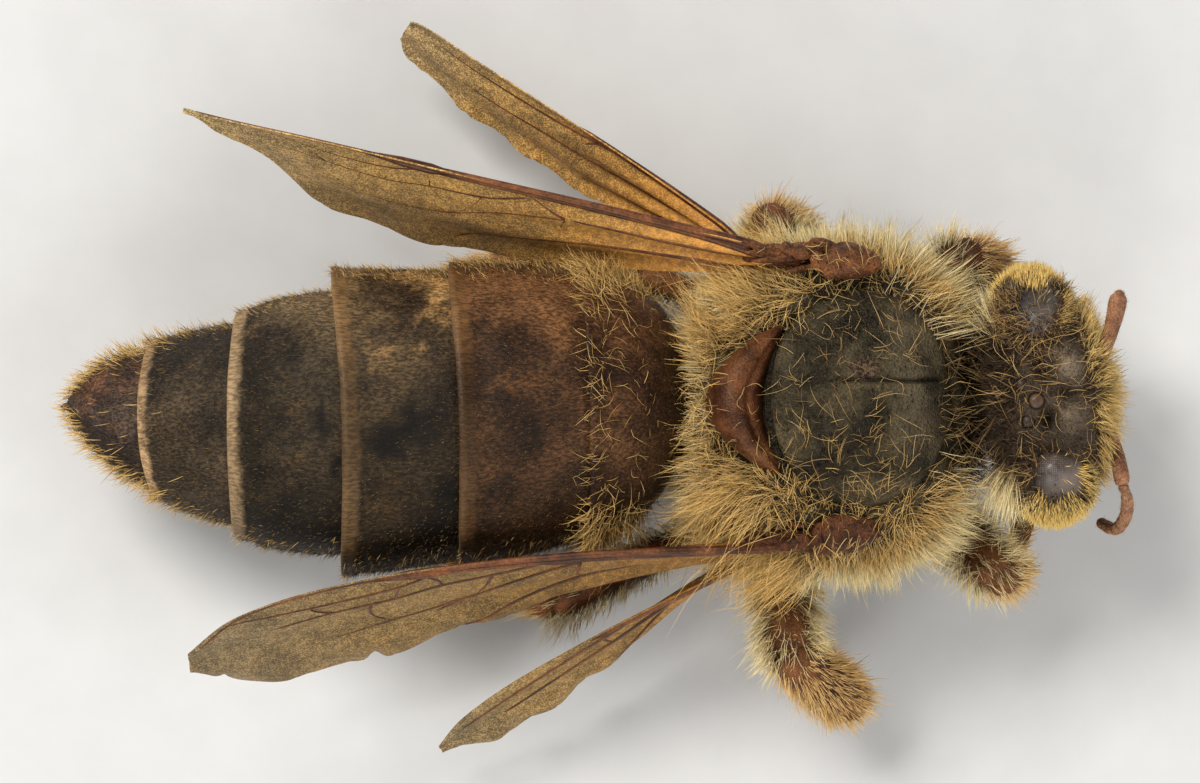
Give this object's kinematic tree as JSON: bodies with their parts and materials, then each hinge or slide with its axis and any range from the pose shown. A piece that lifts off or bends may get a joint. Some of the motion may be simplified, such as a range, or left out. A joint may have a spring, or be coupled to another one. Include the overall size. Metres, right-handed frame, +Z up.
{
  "type": "honey bee",
  "caption": "Life-size still honey bee queen: furry thorax, long banded abdomen, veined amber wings swept back, bent feelers, standing on its feet.",
  "frame": {"origin": "on the floor under the middle of the whole bee's box, coat and wing tips included", "axes": "+X towards the head, +Y towards the bee's left, +Z up from the floor its feet stand on"},
  "size_m": [0.0166, 0.0114, 0.0057],
  "materials": {
    "dark_cuticle": "dark grey-black, finely wrinkled, half matt",
    "brown_cuticle": "smooth reddish brown",
    "banded_cuticle": "brown to grey-black with orange-brown rear bands, soft shine",
    "golden_coat": "pale golden branched hair",
    "compound_eye": "dark grey, finely faceted, with short hairs",
    "ocellus": "glossy amber brown",
    "antenna": "pinkish brown with fine down",
    "leg_cuticle": "orange-brown under golden hair",
    "wing_membrane": "thin amber film with red-brown veins"
  },
  "bodies": {
    "root": {"head": "dark_cuticle", "compound_eye_left": "compound_eye", "compound_eye_right": "compound_eye", "ocellus_middle": "ocellus", "ocellus_left": "ocellus", "ocellus_right": "ocellus", "mandible_left": "brown_cuticle", "mandible_right": "brown_cuticle", "proboscis": "brown_cuticle", "scape_left": "antenna", "flagellum_left": "antenna", "scape_right": "antenna", "flagellum_right": "antenna", "pronotum": "golden_coat", "mesothorax": "dark_cuticle", "propodeum": "golden_coat", "scutellum": "brown_cuticle", "tegula_left": "brown_cuticle", "tegula_right": "brown_cuticle", "abdomen_1": "banded_cuticle", "abdomen_2": "banded_cuticle", "abdomen_3": "banded_cuticle", "abdomen_4": "banded_cuticle", "abdomen_5": "banded_cuticle", "abdomen_6": "banded_cuticle", "fore_coxa_left": "leg_cuticle", "fore_femur_left": "leg_cuticle", "fore_tibia_left": "leg_cuticle", "fore_basitarsus_left": "leg_cuticle", "fore_tarsus_left": "leg_cuticle", "fore_coxa_right": "leg_cuticle", "fore_femur_right": "leg_cuticle", "fore_tibia_right": "leg_cuticle", "fore_basitarsus_right": "leg_cuticle", "fore_tarsus_right": "leg_cuticle", "mid_coxa_left": "leg_cuticle", "mid_femur_left": "leg_cuticle", "mid_tibia_left": "leg_cuticle", "mid_basitarsus_left": "leg_cuticle", "mid_tarsus_left": "leg_cuticle", "mid_coxa_right": "leg_cuticle", "mid_femur_right": "leg_cuticle", "mid_tibia_right": "leg_cuticle", "mid_basitarsus_right": "leg_cuticle", "mid_tarsus_right": "leg_cuticle", "hind_coxa_left": "leg_cuticle", "hind_femur_left": "leg_cuticle", "hind_tibia_left": "leg_cuticle", "hind_basitarsus_left": "leg_cuticle", "hind_tarsus_left": "leg_cuticle", "hind_coxa_right": "leg_cuticle", "hind_femur_right": "leg_cuticle", "hind_tibia_right": "leg_cuticle", "hind_basitarsus_right": "leg_cuticle", "hind_tarsus_right": "leg_cuticle", "forewing_left": "wing_membrane", "forewing_right": "wing_membrane", "hindwing_left": "wing_membrane", "hindwing_right": "wing_membrane"}
  },
  "joints": []
}
